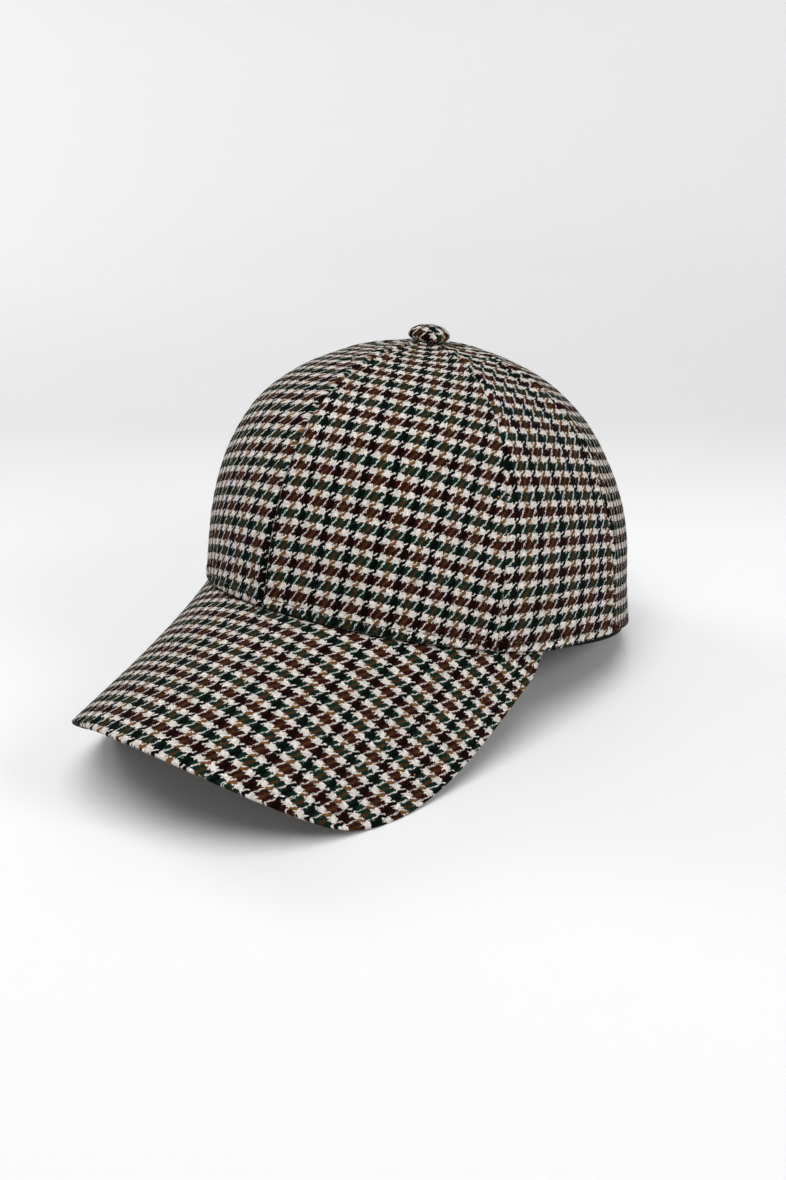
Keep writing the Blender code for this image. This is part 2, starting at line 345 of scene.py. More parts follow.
def crown_point(angle, climb):
    """Smooth crown: angle runs round from the front, climb from 0 at the rim to 1 on top."""
    angle, climb = np.broadcast_arrays(np.asarray(angle, float), np.asarray(climb, float))
    side, front = np.sin(angle), np.cos(angle)
    turn = climb * math.pi / 2.0
    power = 2.0 / fullness_at(angle)
    out = np.maximum(np.cos(turn), 0.0) ** power
    up = np.maximum(np.sin(turn), 0.0) ** power
    square = 2.0 + (SQUARENESS - 2.0) * np.minimum(climb / SHAPED_CLIMB, 1.0)
    out = out / (np.abs(front) ** square + np.abs(side) ** square) ** (1.0 / square)
    reach = np.where(front > 0.0, FRONT_REACH, BACK_REACH)
    flare = BACK_FLARE * np.maximum(-front, 0.0)
    flare = flare * np.maximum(1.0 - climb / FLARE_CLIMB, 0.0) ** 2
    top = np.maximum((climb - TOP_CLIMB) / (1.0 - TOP_CLIMB), 0.0)
    lean = CROWN_LEAN * up + BUTTON_LEAN * top**2
    rise = rim_rise(angle)
    height = rise + (CROWN_HEIGHT - rise) * up - TOP_SLOPE * top * front * reach * out
    sideways = side * (HALF_WIDTH * out + flare)
    return np.stack((sideways, -front * (reach * out + flare) - lean, height), -1)


def crown_outward(angle, climb):
    """Unit normal of the smooth crown."""
    low = np.maximum(climb - NORMAL_STEP, 0.0)
    around = crown_point(angle + NORMAL_STEP, climb) - crown_point(angle - NORMAL_STEP, climb)
    upward = crown_point(angle, climb + NORMAL_STEP) - crown_point(angle, low)
    return unit(np.cross(around, upward))


def panel_point(first, last, across, climb):
    """Surface of a panel, which puffs out a little between its seams."""
    across, climb = np.broadcast_arrays(across, climb)
    smooth = crown_point(first + (last - first) * across, climb)
    share = across[..., None]
    chord = crown_point(first, climb) * (1.0 - share) + crown_point(last, climb) * share
    puff = PANEL_PUFF * np.minimum(climb / SHAPED_CLIMB, 1.0)
    return smooth + (smooth - chord) * puff[..., None]


def panel_place(first, last, across, climb):
    """Surface of a panel, and the smooth crown's unit normal there."""
    normal = crown_outward(first + (last - first) * across, climb)
    return panel_point(first, last, across, climb), normal


def climb_at_height(angle, height):
    """Climb at which the crown stands this high above the rim's oval."""
    rise = rim_rise(angle)
    up = np.clip((height - rise) / (CROWN_HEIGHT - rise), 0.0, 1.0)
    return np.arcsin(up ** (fullness_at(angle) / 2.0)) * 2.0 / math.pi


def path_lengths(points):
    """Distance along each path from its first point."""
    steps = np.linalg.norm(np.diff(points, axis=-2), axis=-1)
    start = np.zeros(steps.shape[:-1] + (1,))
    return np.concatenate((start, np.cumsum(steps, axis=-1)), axis=-1)


def peak_root(side):
    """The peak's sewn edge, tucked under the rim; side runs from -1 to 1."""
    angle = side * PEAK_HALF_ANGLE
    point = crown_point(angle, 0.0) - crown_outward(angle, 0.0) * PEAK_TUCK
    point[..., 2] -= LAYER_GAP
    return point


def peak_edge(side):
    """The peak's free edge, which runs into the rim at both ends."""
    corner = crown_point(PEAK_HALF_ANGLE, 0.0)
    turn = np.abs(side) * math.pi / 2.0
    power = 2.0 / PEAK_ROUNDNESS
    wide = PEAK_HALF_WIDTH * np.sin(turn) ** power
    reach = (FRONT_REACH + PEAK_LENGTH + corner[1]) * np.maximum(np.cos(turn), 0.0) ** power
    arch = PEAK_SIDE_DROP * (wide / PEAK_HALF_WIDTH) ** PEAK_ARCH_POWER
    height = RIM_ARCH - PEAK_DROP - arch
    join = np.maximum((np.abs(side) - PEAK_JOIN) / (1.0 - PEAK_JOIN), 0.0) ** 2
    wide = wide + (corner[0] - wide) * join
    height = height + (corner[2] - height) * join
    return np.stack((np.copysign(wide, side), corner[1] - reach, height - LAYER_GAP), -1)


def peak_surface(side, out):
    """Top of the peak, ruled from its sewn edge to its free edge."""
    share = np.asarray(out)[..., None]
    return peak_root(side) * (1.0 - share) + peak_edge(side) * share


def peak_upward(side, out):
    """Unit normal of the peak's top."""
    across = peak_surface(side + NORMAL_STEP, out) - peak_surface(side - NORMAL_STEP, out)
    forward = peak_edge(side) - peak_root(side)
    return unit(np.cross(forward, across))


def at_rest(points, soft=True):
    """Level points where the cap rests; soft cloth doesn't go below the floor."""
    placed = points @ np.array(Matrix.Rotation(-REST_TILT, 3, "X")).T + REST_SHIFT
    if soft:
        placed[..., 2] = np.maximum(placed[..., 2], 0.0)
    return placed


def waves(points, size, height, shift=0.0):
    """Slow uneven waves of the cloth at these points; a shift gives other waves."""
    flat = (points + shift).reshape(-1, 3) / size
    values = [noise.noise(Vector(point)) for point in flat]
    return height * np.array(values).reshape(points.shape[:-1])


def wall_faces(rows, columns, ring):
    """Quads of a closed wall whose rows run round its section; a ring's last column joins its first."""
    index = np.arange(rows * columns).reshape(rows, columns)
    after = np.roll(index, -1, axis=0)
    if ring:
        quads = (index, after, np.roll(after, -1, axis=1), np.roll(index, -1, axis=1))
        return np.stack(quads, -1).reshape(-1, 4)
    quads = (index[:, :-1], after[:, :-1], after[:, 1:], index[:, 1:])
    faces = [np.stack(quads, -1).reshape(-1, 4)]
    half = rows // 2
    back = index[::-1]
    for column, turned in ((0, False), (columns - 1, True)):
        outer, outer_next = index[: half - 1, column], index[1:half, column]
        inner, inner_next = back[: half - 1, column], back[1:half, column]
        if turned:
            outer_next, inner = inner, outer_next
        faces.append(np.stack((outer, inner, inner_next, outer_next), -1))
    return np.concatenate(faces)


def read(items, attribute, width, kind=float):
    """One attribute of all of a mesh's items, a row for each."""
    values = np.empty(len(items) * width, kind)
    items.foreach_get(attribute, values)
    return values.reshape(-1, width)


def fill_mesh(mesh, points, faces, material, uvs=None):
    """Gives an empty mesh its smooth faces and, for places on the cloth, its own UV map."""
    mesh.from_pydata(points.reshape(-1, 3).tolist(), [], faces)
    if uvs is not None:
        layer = mesh.uv_layers.new(name=UV_NAME)
        corners = read(mesh.loops, "vertex_index", 1, int)[:, 0]
        layer.data.foreach_set("uv", uvs.reshape(-1, 2)[corners].ravel())
    mesh.shade_smooth()
    mesh.materials.append(material)


def add_object(name, data):
    """New object in the scene."""
    made = bpy.data.objects.new(name, data)
    bpy.context.scene.collection.objects.link(made)
    return made


def add_piece(name, *contents):
    """Mesh object from what fill_mesh is given."""
    mesh = bpy.data.meshes.new(name)
    fill_mesh(mesh, *contents)
    return add_object(name, mesh)


def add_cloth(name, points, uvs, material, ring=False):
    """Closed wall of cloth from level points, laid at rest with its faces pointing outwards."""
    faces = wall_faces(*points.shape[:2], ring).tolist()
    piece = add_piece(name, at_rest(points), faces, material, uvs)
    shell = bmesh.new()
    shell.from_mesh(piece.data)
    if shell.calc_volume(signed=True) < 0.0:
        bmesh.ops.reverse_faces(shell, faces=shell.faces)
        shell.to_mesh(piece.data)
    shell.free()
    return piece


def on_body(piece, replaced=()):
    """The piece rides on the cap's one body, for the solids that it stands for."""
    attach(piece, "root")
    if replaced:
        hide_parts(*replaced)


def maths(operation, swapped=False):
    """Method of a wire that adds a Math node; swapped puts the wire's own number last."""
    def method(wire, *others):
        values = (*others, wire) if swapped else (wire, *others)
        return wire.math(operation, *values)
    return method


class Wire:
    """One shader socket, which can be used in arithmetic; each step adds a Math node."""

    def __init__(self, tree, socket=None):
        self.tree = tree
        self.socket = socket

    def node(self, kind, settings=None, values=None, output=0):
        """Adds any node: its type, its settings, and the values or links of its sockets."""
        made = self.tree.nodes.new(kind)
        for name, value in (settings or {}).items():
            setattr(made, name, value)
        self.feed(made, values or {})
        return Wire(self.tree, made.outputs[output])

    def feed(self, node, values):
        """Gives the sockets of a node their values or links."""
        for name, value in values.items():
            if isinstance(value, Wire):
                self.tree.links.new(value.socket, node.inputs[name])
            else:
                node.inputs[name].default_value = value

    def output(self, name):
        """Another output of the same node."""
        return Wire(self.tree, self.socket.node.outputs[name])

    def math(self, operation, *values):
        """Math node with these numbers."""
        return self.node("ShaderNodeMath", {"operation": operation}, dict(enumerate(values)))

    __add__ = maths("ADD")
    __sub__ = maths("SUBTRACT")
    __rsub__ = maths("SUBTRACT", swapped=True)
    __mul__ = maths("MULTIPLY")
    __truediv__ = maths("DIVIDE")
    __mod__ = maths("FLOORED_MODULO")
    __lt__ = maths("LESS_THAN")
    __gt__ = maths("GREATER_THAN")
    floor = maths("FLOOR")
    fract = maths("FRACT")
    absolute = maths("ABSOLUTE")

    def choose(self, low, high):
        """Number between low and high by this factor."""
        return self.node("ShaderNodeMix", {"data_type": "FLOAT"}, {0: self, 2: low, 3: high})

    def colour(self, low, high):
        """Colour between low and high by this factor."""
        return self.node("ShaderNodeMix", {"data_type": "RGBA"}, {0: self, 6: low, 7: high}, output=2)

    def scaled(self, value):
        """This colour, brighter or darker by a factor."""
        return self.node("ShaderNodeVectorMath", {"operation": "SCALE"}, {0: self, "Scale": value})

    def point(self, across, along, depth=0.0):
        """Vector from three numbers."""
        return self.node("ShaderNodeCombineXYZ", values={0: across, 1: along, 2: depth})

    def split(self, vector):
        """First two numbers of a vector or colour."""
        first = self.node("ShaderNodeSeparateXYZ", values={0: vector})
        return first, first.output("Y")

    def noise(self, place, scale, detail, output="Fac"):
        """Noise texture at a place."""
        values = {"Vector": place, "Scale": scale, "Detail": detail}
        return self.node("ShaderNodeTexNoise", values=values, output=output)

    def chance(self, number):
        """A steady random number for each whole number."""
        return self.node("ShaderNodeTexWhiteNoise", {"noise_dimensions": "1D"}, {"W": number})


def opaque(colour, share=1.0):
    """This share of a colour, as four numbers."""
    return (*(share * value for value in colour), 1.0)


def start_material(name):
    """New node material and a wire to build its maths on."""
    material = bpy.data.materials.new(name)
    material.use_nodes = True
    return material, Wire(material.node_tree)


def finish_material(material, colour, roughness, height, depth, sheen=0.0, shine=0.25):
    """Feeds colour, roughness and relief to the shader; sheen and shine are the same all over."""
    relief = height.node("ShaderNodeBump", values={"Height": height, "Distance": depth, "Strength": 0.75})
    height.feed(material.node_tree.nodes["Principled BSDF"], {
        "Base Color": colour,
        "Roughness": roughness,
        "Sheen Weight": sheen,
        "Sheen Roughness": 0.45,
        "Specular IOR Level": shine,
        "Normal": relief,
    })


def checked_wool(name):
    """Two-and-two twill of woollen yarn: warp and weft in fours, white between the colours."""
    colours = bpy.context.scene.cap_colours
    material, wire = start_material(name)
    across, up = wire.split(wire.node("ShaderNodeUVMap", {"uv_map": UV_NAME}))
    warp_at, weft_at = across * THREADS, up * THREADS
    place = wire.point(warp_at, weft_at)

    # Crooked threads, ragged bands, wider white rows and teeth of uneven length
    wander_across, wander_up = wire.split(wire.noise(place, 0.8, 5.0, output="Color"))
    ragged_across, ragged_up = wire.split(wire.noise(place, 2.0, 3.0, output="Color"))
    up_tooth = wire.chance(warp_at.floor() + (weft_at / BAND + 0.5).floor() * 57.0 + 0.5) - 0.5
    side_tooth = wire.chance(weft_at.floor() + (warp_at / BAND + 0.5).floor() * 91.0 + 300.5) - 0.5
    warp_at = warp_at + (wander_across - 0.5) * 1.5 + (ragged_across - 0.5) * 1.3 + side_tooth * 0.5
    weft_at = weft_at + (wander_up - 0.5) * 1.2 + (ragged_up - 0.5) * 1.3
    widened = wire.math("SINE", (weft_at - 2.0) * (math.pi / BAND))
    weft_at = weft_at + widened * 0.48 + up_tooth * 0.9
    warp, weft = warp_at.floor(), weft_at.floor()
    across_warp, across_weft = (warp_at - warp - 0.5) * 2.0, (weft_at - weft - 0.5) * 2.0
    along_warp = (weft_at - warp + 2.0) % TWILL - 2.0
    along_weft = (warp_at - weft - 1.0) % TWILL - 2.0
    warp_round = 1.0 - across_warp * across_warp * 0.8 - along_warp * along_warp * 0.35
    weft_round = 1.0 - across_weft * across_weft * 0.8 - along_weft * along_weft * 0.35

    # Which yarn lies on top: half the length that the warp floats, in threads
    warp_band, weft_band = (warp / BAND).floor() % BANDS, (weft / BAND).floor() % BANDS
    warp_is_dark, weft_is_dark = warp_band % 2.0, weft_band % 2.0
    crossed = warp_is_dark - weft_is_dark
    both_dark = warp_is_dark * weft_is_dark
    up_band = (weft_at / BAND).fract()
    thinned = (1.0 - warp_is_dark) * weft_is_dark * (up_band * up_band * 0.36 - 0.27)
    fuzz = (wire.noise(place, 3.1, 2.0) - 0.5) * (both_dark * 5.0 + 1.2)
    half_float = crossed * 0.45 + thinned + fuzz - both_dark * 0.15 + 1.0
    middle = weft + 0.5 + (weft_at - weft - 0.5) * 0.75
    warp_over = ((warp_at - middle + 1.5) % TWILL - 2.0).absolute() < half_float

    warp_dark = (warp_band > LAST_BAND).colour(opaque(colours.black), opaque(colours.tan))
    warp_colour = warp_is_dark.colour(opaque(colours.white), warp_dark)
    weft_dark = (weft_band > LAST_BAND).colour(opaque(colours.maroon), opaque(colours.green))
    weft_colour = weft_is_dark.colour(opaque(colours.white), weft_dark)
    showing = warp_is_dark.choose(0.92, crossed * 0.78 + 0.50)
    shaded = 1.0 - both_dark * (warp_band < LAST_BAND) * 0.6
    yarn = warp_over.colour(weft_colour.scaled(shaded), warp_colour.scaled(showing))

    # Round, hairy yarn whose tone differs from thread to thread, with painted shade in the hollows between
    # threads
    round_yarn = warp_over.choose(weft_round, warp_round)
    hairy = wire.noise(place, 2.6, 4.0)
    height = round_yarn * 0.7 + hairy * 0.5
    tone = warp_over.choose(wire.chance(weft + 700.5), wire.chance(warp + 0.5)) * 0.26 + 0.84
    streak = wire.noise(wire.point(warp_at * 0.35, weft_at * 0.35, 3.0), 1.0, 3.0) + 0.5
    # Painted shade: the colour darkens where the yarn's round relief falls away between threads
    painted_crevice_shade = round_yarn * 0.32 + 0.70
    colour = yarn.scaled(tone * streak * painted_crevice_shade * (hairy * 1.6 + 0.2))

    # A few pale hairs, and rare red or orange specks in the yarn
    pale_hair = (wire.noise(place, 1.7, 5.0) > 0.68).choose(0.0, 0.006)
    colour = pale_hair.colour(colour, (0.45, 0.40, 0.35, 1.0))
    spot = wire.node("ShaderNodeTexVoronoi", values={"Vector": place, "Scale": 0.18})
    chosen, red = wire.split(spot.output("Color"))
    speck = (spot < 0.075) * (chosen > 0.86)
    speck_colour = (red > 0.5).colour((0.42, 0.05, 0.02, 1.0), (0.50, 0.22, 0.04, 1.0))
    colour = (speck * 0.75).colour(colour, speck_colour)
    finish_material(material, colour, 0.95, height, 0.00032, sheen=0.022, shine=0.0)
    return material


def band_cloth(name):
    """Dark ribbed ribbon with faint rows along it, and painted shade in the dips between its ribs and rows.
    """
    band = bpy.context.scene.cap_colours.band
    material, wire = start_material(name)
    place = wire.node("ShaderNodeUVMap", {"uv_map": UV_NAME})
    across, up = wire.split(place)
    rib = wire.math("SINE", across * 7000.0) * 0.5 + 0.5
    row = wire.math("SINE", up * 9000.0) * 0.5 + 0.5
    fleck = wire.noise(place, 900.0, 3.0)
    colour = fleck.colour(opaque(band), opaque(band, 2.4))
    # Painted shade: the colour darkens where the ribs and rows dip, following their relief
    colour = colour.scaled(rib * 0.3 + row * 0.2 + 0.65)
    finish_material(material, colour, fleck * 0.2 + 0.75, rib * 0.7 + row * 0.3, 0.00018, shine=0.03)
    return material


def thread_finish(name):
    """Twisted sewing thread with a soft shine, and painted light and shade along its twist."""
    thread = bpy.context.scene.cap_colours.thread
    material, wire = start_material(name)
    place = wire.node("ShaderNodeTexCoord", output="Object")
    values = {"Vector": place, "Scale": 900.0, "Distortion": 1.5}
    twist = wire.node("ShaderNodeTexWave", {"bands_direction": "DIAGONAL"}, values, output="Fac")
    # Painted light and shade: lighter on the ridges of the twist and darker in its grooves, following its
    # relief
    colour = twist.colour(opaque(thread, 0.6), opaque(thread, 1.3))
    finish_material(material, colour, 0.6, twist, 0.00005, sheen=0.15)
    return material


def wool():
    """The checked cloth, made when it is first needed."""
    return bpy.data.materials.get("gun_club_wool") or checked_wool("gun_club_wool")


def sample(table, across, climb):
    """Value of a regular table over across and climb, each from 0 to 1, between its entries."""
    rows, columns = np.array(table.shape) - 1
    row = np.clip(climb, 0.0, 1.0) * rows
    column = np.clip(across, 0.0, 1.0) * columns
    low_row = np.minimum(row.astype(int), rows - 1)
    low_column = np.minimum(column.astype(int), columns - 1)
    row, column = row - low_row, column - low_column
    below = table[low_row, low_column] * (1.0 - column) + table[low_row, low_column + 1] * column
    above = table[low_row + 1, low_column] * (1.0 - column) + table[low_row + 1, low_column + 1] * column
    return below * (1.0 - row) + above * row


def woven(flat, check):
    """Check coordinates, in repeats, from distances across and up the cloth in metres."""
    across, up = flat[..., 0] * DECIMETRES, flat[..., 1] * DECIMETRES
    terms = (np.ones_like(across), across, up, across * across, across * up, up * up)
    return np.stack(terms, -1) @ np.array(check).T


def panel_flat(first, last, across, climb):
    """Where a panel's points lie on its flat cloth: across from its middle, up from a level rim."""
    sides, climbs = np.linspace(0.0, 1.0, 41), np.linspace(0.0, 1.0, 201)
    grid = panel_point(first, last, sides[None, :], climbs[:, None])
    up = path_lengths(grid.swapaxes(0, 1)).T + side_rise(first + (last - first) * sides)
    wide = path_lengths(grid)
    middle = len(sides) // 2
    wide = wide - wide[:, middle:middle + 1]
    return np.stack((sample(wide, across, climb), sample(up, across, climb)), -1)


def panel_rows():
    """Distance up the cloth and climb of each row of a panel, from the tip down to the hem."""
    fine = np.linspace(0.0, TIP_CLIMB, 600)
    lengths = path_lengths(crown_point(FRONT_SEAM, fine))
    hem = [CLOTH / 2.0] + [step * MILLIMETRE for step in HEM_STEPS[:-1]]
    even = np.linspace(HEM_STEPS[-1] * MILLIMETRE, lengths[-1], PANEL_ROWS)
    ups = np.concatenate((hem, even))[::-1]
    return ups, np.interp(ups, lengths, fine)


def panel_layout(first, last):
    """Grid of a panel: across, climb and distance from the seam of each point, and for each row
    the share to which its seams' relief is narrowed and its distance up the cloth."""
    ups, climbs = panel_rows()
    fine = np.linspace(0.0, 1.0, 161)
    middle = (first + last) / 2.0
    low = climb_at_height(middle, rim_rise(middle) + ups)
    mix = smooth_step(ups, *LEVEL_ROWS_END)
    row_climb = low * (1.0 - mix) + climbs * mix
    lengths = path_lengths(panel_point(first, last, fine[None, :], row_climb[:, None]))
    width = lengths[:, -1]
    near = np.array(SEAM_STEPS) * MILLIMETRE
    narrow = np.minimum(1.0, width / 2.0 * SEAM_SHARE / near[-1])
    spread = np.linspace(0.0, 1.0, PANEL_MIDDLE + 2)[1:-1]
    across, apart = [], []
    for row in range(len(ups)):
        start = near * narrow[row]
        end = width[row] - start[::-1]
        inner = start[-1] + (end[0] - start[-1]) * spread
        places = np.concatenate((start, inner, end))
        across.append(np.interp(places, lengths[row], fine))
        apart.append(np.minimum(places, width[row] - places) / narrow[row])
    across, apart = np.array(across), np.array(apart)
    angle = first + (last - first) * across
    low = climb_at_height(angle, rim_rise(angle) + ups[:, None])
    climb = low * (1.0 - mix[:, None]) + climbs[:, None] * mix[:, None]
    return across, climb, apart, narrow[:, None], ups[:, None]


def bump(distance, width):
    """1 at distance 0, falling smoothly to nearly nothing at twice the width."""
    return np.exp(-((distance / width) ** 2))


def seam_relief(apart, narrow, ups, sizes):
    """How far the cloth stands out: raised over the turned-in edges, pulled in at the stitches."""
    inset, hem_stitch = sizes.stitch_inset, sizes.hem_stitch
    over = smooth_step(apart, *SEAM_RISE)
    over = over * (1.0 - smooth_step(apart, inset + RISE_ENDS[0], inset + RISE_ENDS[1]))
    groove = bump(apart, GROOVE_WIDTH)
    stitch = bump(apart - inset, STITCH_WIDTH)
    relief = over * sizes.seam_raise - groove * sizes.seam_dip - stitch * sizes.stitch_dip
    relief = relief * narrow**NARROWING
    hem = 1.0 - smooth_step(ups, hem_stitch + HEM_RAISE_ENDS[0], hem_stitch + HEM_RAISE_ENDS[1])
    hem_row = bump(ups - hem_stitch, HEM_STITCH_WIDTH)
    return relief + hem * HEM_RAISE - hem_row * sizes.stitch_dip * HEM_STITCH_DIP


def panel_cloth(first, last):
    """Points and flat places of one panel, as rows round its section from the outer tip to the inner."""
    sizes = bpy.context.scene.cap_sizes
    across, climb, apart, narrow, ups = panel_layout(first, last)
    angle = first + (last - first) * across
    surface, normal = panel_place(first, last, across, climb)
    soft = waves(surface, LONG_WAVE, sizes.softness)
    soft = soft + waves(surface, SHORT_WAVE, sizes.softness * SHORT_WAVE_SHARE, shift=3.0)
    pucker = bump(apart - sizes.stitch_inset, PUCKER_WIDTH)
    soft = soft * smooth_step(ups, 0.0, CALM_HEM)
    soft = soft + waves(surface, PUCKER_WAVE, PUCKER_HEIGHT, shift=7.0) * pucker
    relief = seam_relief(apart, narrow, ups, sizes)
    outer = surface + normal * (relief + soft)[..., None]
    turned_in = 1.0 - smooth_step(apart, *TURNED_IN_OVER)
    turned_in = TURNED_IN * turned_in * smooth_step(ups, *TURNED_IN_FROM)
    inner = surface + normal * (soft - CLOTH - turned_in * narrow)[..., None]

    radius = CLOTH / 2.0
    roll, roll_climbs = [], []
    for turn in np.linspace(0.0, math.pi, ROLL_ROWS + 2)[1:-1]:
        height = radius * (1.0 - math.sin(turn))
        edge_climb = climb_at_height(angle[-1], rim_rise(angle[-1]) + height)
        edge, outward = panel_place(first, last, across[-1], edge_climb)
        out = relief[-1] * (1.0 + math.cos(turn)) / 2.0 - radius * (1.0 - math.cos(turn))
        roll.append(edge + outward * out[:, None])
        roll_climbs.append(edge_climb)
    points = np.concatenate((outer, np.array(roll), inner[::-1]))
    across = np.concatenate((across, across[-1:].repeat(ROLL_ROWS, 0), across[::-1]))
    climb = np.concatenate((climb, np.array(roll_climbs), climb[::-1]))
    points[..., 2] = np.maximum(points[..., 2], rim_rise(first + (last - first) * across))
    return points, panel_flat(first, last, across, climb)


class MakeCrownPanels(bpy.types.Operator):
    """Make the crown's six panels of checked wool, with pressed seams and a turned hem"""

    bl_idname = "cap.crown_panels"
    bl_label = "Crown panels"

    def execute(self, context):
        for name, first, last, check in PANELS:
            points, flat = panel_cloth(first, last)
            # The check shifted at the hem paints shade on the rolled edge along the rim
            shade_shifted = flat + HEM_SHADE_SHIFT * np.exp(-flat[..., 1:] / HEM_SHADE_SHIFT_FADES) * (0.0, 1.0)
            piece = add_cloth("cloth_" + name, points, woven(shade_shifted, check), wool())
            on_body(piece, ["panel_" + name])
        return {"FINISHED"}


def peak_flat(points):
    """Where the peak's points lie on flat cloth: rows run across, following its arch."""
    start, end = peak_surface(np.array(0.0), np.array(1.0)), peak_surface(np.array(0.0), np.array(0.0))
    back = unit(end - start)
    sides = np.linspace(0.0, PEAK_END, 120)
    root, edge = peak_root(sides), peak_edge(sides)
    root_at, edge_at = (root - start) @ back, (edge - start) @ back
    cuts = np.linspace(*PEAK_CUTS)
    span = np.minimum(edge_at - root_at, -0.002)
    out = np.clip((cuts[:, None] - root_at) / span, -0.6, 1.4)
    lines = root + out[..., None] * (edge - root)
    arcs = path_lengths(lines)
    up = (points - start) @ back
    wide = np.abs(points[..., 0])
    flat = np.empty(points.shape[:-1] + (2,))
    level = np.clip((up - cuts[0]) / (cuts[1] - cuts[0]), 0.0, len(cuts) - 1.001)
    low = level.astype(int)
    share = level - low
    for place in np.ndindex(up.shape):
        row = low[place]
        near = np.interp(wide[place], lines[row, :, 0], arcs[row])
        far = np.interp(wide[place], lines[row + 1, :, 0], arcs[row + 1])
        flat[place][0] = math.copysign(near + (far - near) * share[place], points[place][0])
    flat[..., 1] = up
    return flat


def peak_layer(depth, thickness, inset, edge_roll):
    """Points of one layer of the peak, as rows round its section from its root on top to its root below."""
    sides = np.linspace(-PEAK_END, PEAK_END, PEAK_COLUMNS + 1)
    forward = peak_edge(sides) - peak_root(sides)
    reach = 1.0 - np.minimum(inset / np.linalg.norm(forward, axis=1), 0.5)
    outs = 1.0 - (1.0 - np.linspace(0.0, 1.0, PEAK_ROWS + 1)) ** 1.25
    grid = outs[:, None] * reach[None, :]
    sides = np.broadcast_to(sides, grid.shape)
    surface = peak_surface(sides, grid)
    normal = peak_upward(sides, grid)
    soft = waves(surface, PEAK_WAVE, PEAK_SOFTNESS)[..., None]
    top = surface + normal * (soft - depth)
    bottom = surface + normal * (soft - depth - thickness)
    outward = unit(forward)
    centre, half = (top[-1] + bottom[-1]) / 2.0, (top[-1] - bottom[-1]) / 2.0
    turns = np.linspace(0.0, math.pi, ROLL_ROWS + 2)[1:-1]
    roll = [centre + half * math.cos(turn) + outward * edge_roll * math.sin(turn) for turn in turns]
    return np.concatenate((top, np.array(roll), bottom[::-1]))


class MakePeak(bpy.types.Operator):
    """Make the curved peak: its upper cloth rolled round the edge, and the cloth below"""

    bl_idname = "cap.peak"
    bl_label = "Peak"

    def execute(self, context):
        top = (0.0, PEAK_BOARD, 0.0, PEAK_ROLL)
        under = (PEAK_BOARD + LINING_GAP, LINING + LINING_NAP, LINING_INSET, LINING_ROLL)
        for name, layer in (("peak_top", top), ("peak_under", under)):
            points = peak_layer(*layer)
            flat = peak_flat(points)
            piece = add_cloth("cloth_" + name, points, woven(flat, PEAK_CHECK), wool())
            on_body(piece, [name])
        return {"FINISHED"}


class MakeSweatband(bpy.types.Operator):
    """Make the dark band inside the rim"""

    bl_idname = "cap.sweatband"
    bl_label = "Sweatband"

    def execute(self, context):
        per_panel = BAND_COLUMNS // len(PANELS)
        share = np.tile(np.arange(per_panel) / per_panel, len(PANELS))
        first, last = (np.repeat([panel[end] for panel in PANELS], per_panel) for end in (1, 2))
        angle = first + (last - first) * share
        shows = BAND_SHOWS * side_rise(angle) / SIDE_ARCH

        def band_row(up, depth):
            climb = climb_at_height(angle, rim_rise(angle) + BAND_HEIGHT * up)
            point, outward = panel_place(first, last, share, climb)
            point = point - outward * (CLOTH + LAYER_GAP + depth)
            point[:, 2] = np.maximum(point[:, 2], rim_rise(angle)) - shows * (1.0 - up)
            return point

        ups = np.linspace(0.0, 1.0, BAND_ROWS)
        swell = BAND_SWELL * BAND_WALL * np.sin(math.pi * ups) ** 0.5
        outer = [band_row(up, 0.0) for up in ups]
        inner = [band_row(up, BAND_WALL * BAND_EDGE + extra) for up, extra in zip(ups, swell)]
        points = np.array(outer[::-1] + inner)
        around = path_lengths(points[0])
        heights = np.concatenate((ups[::-1], ups)) * BAND_HEIGHT
        flat = np.stack(np.broadcast_arrays(around, heights[:, None]), -1)
        piece = add_cloth("inner_sweatband", points, flat, band_cloth("ribbed_band"), ring=True)
        on_body(piece, ["sweatband"])
        return {"FINISHED"}


def steady_order(mesh):
    """Points and faces of a mesh sorted by place, as Blender's tools may order them anew each run."""
    points = np.array([vertex.co for vertex in mesh.vertices])
    ranks = np.lexsort(np.round(points, 6).T)
    place = np.empty(len(points), int)
    place[ranks] = np.arange(len(points))
    faces = []
    for face in mesh.polygons:
        corners = place[list(face.vertices)].tolist()
        first = corners.index(min(corners))
        faces.append(tuple(corners[first:] + corners[:first]))
    return points[ranks], sorted(faces)


def template(make):
    """Points and faces of a shape made with Blender's own tools, then removed."""
    bpy.ops.object.select_all(action="DESELECT")
    make()
    shape = bpy.context.active_object
    mesh = shape.data
    points, faces = steady_order(mesh)
    bpy.data.objects.remove(shape)
    bpy.data.meshes.remove(mesh)
    return points, faces


def level_cut(height, **settings):
    """Cuts what is selected with a level plane."""
    bpy.ops.mesh.bisect(plane_co=(0.0, 0.0, height), plane_no=(0.0, 0.0, 1.0), **settings)


